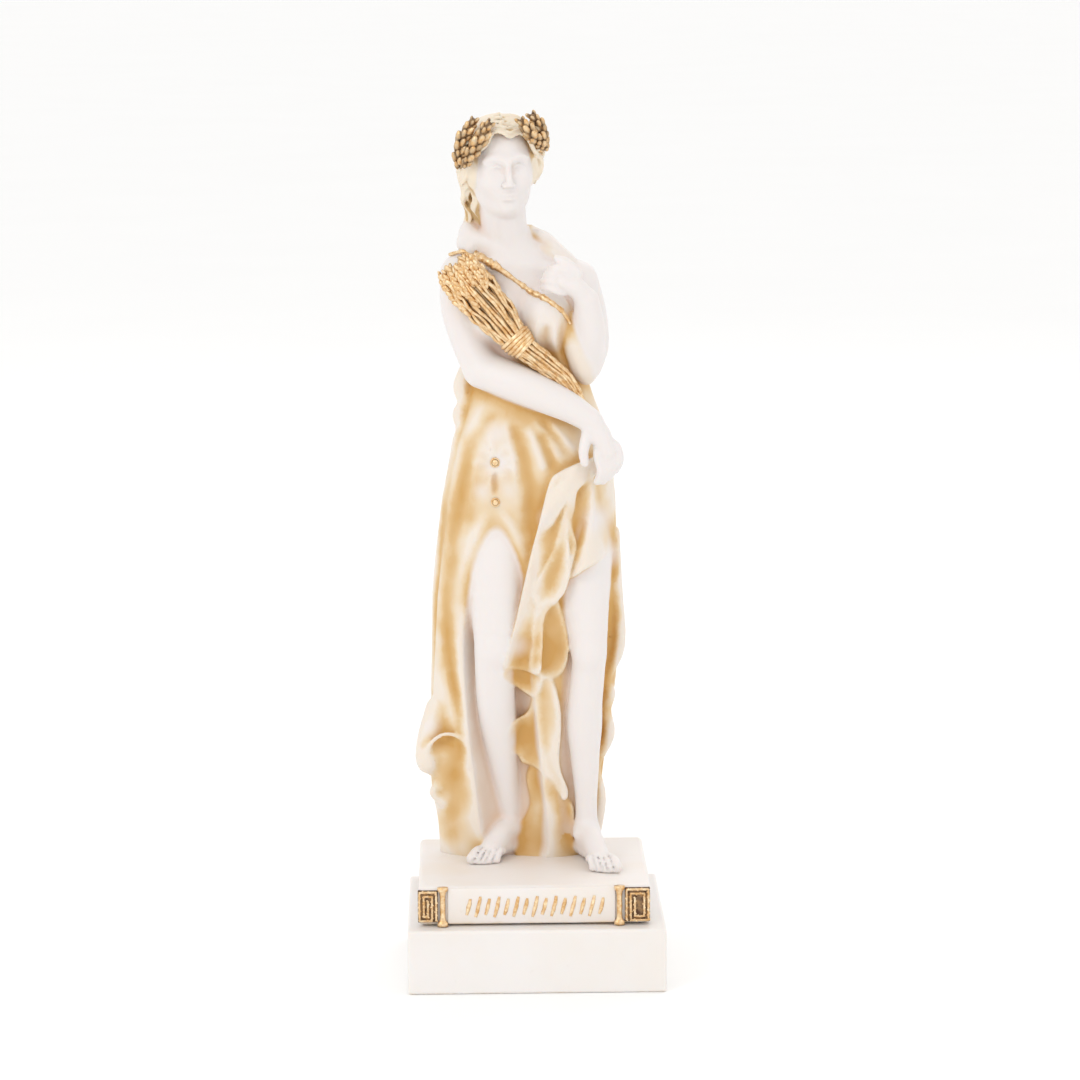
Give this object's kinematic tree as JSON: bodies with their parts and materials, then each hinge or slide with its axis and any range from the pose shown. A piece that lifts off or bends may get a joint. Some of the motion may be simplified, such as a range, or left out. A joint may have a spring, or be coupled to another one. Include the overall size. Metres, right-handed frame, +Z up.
{
  "type": "goddess statue",
  "caption": "Standing draped goddess figurine with a wheat sheaf and a wheat wreath, cast with its slab, on a plain rectangular plinth block.",
  "frame": {"origin": "centre of the plinth block's underside", "axes": "+Z up through the figure, -Y towards the front that carries the row of strokes, +X to the viewer's right"},
  "size_m": [0.07, 0.062, 0.2362],
  "materials": {
    "alabaster": "cast alabaster resin, satin, with a worn ochre wash in the cloth's hollows",
    "plinth": "cast alabaster resin, smooth satin, off-white",
    "gold_paint": "gilt paint, rubbed dark in the recesses",
    "ochre_wash": "thin ochre stain on cast resin"
  },
  "bodies": {
    "root": {"statue": "alabaster", "plinth_block": "plinth"}
  },
  "joints": []
}
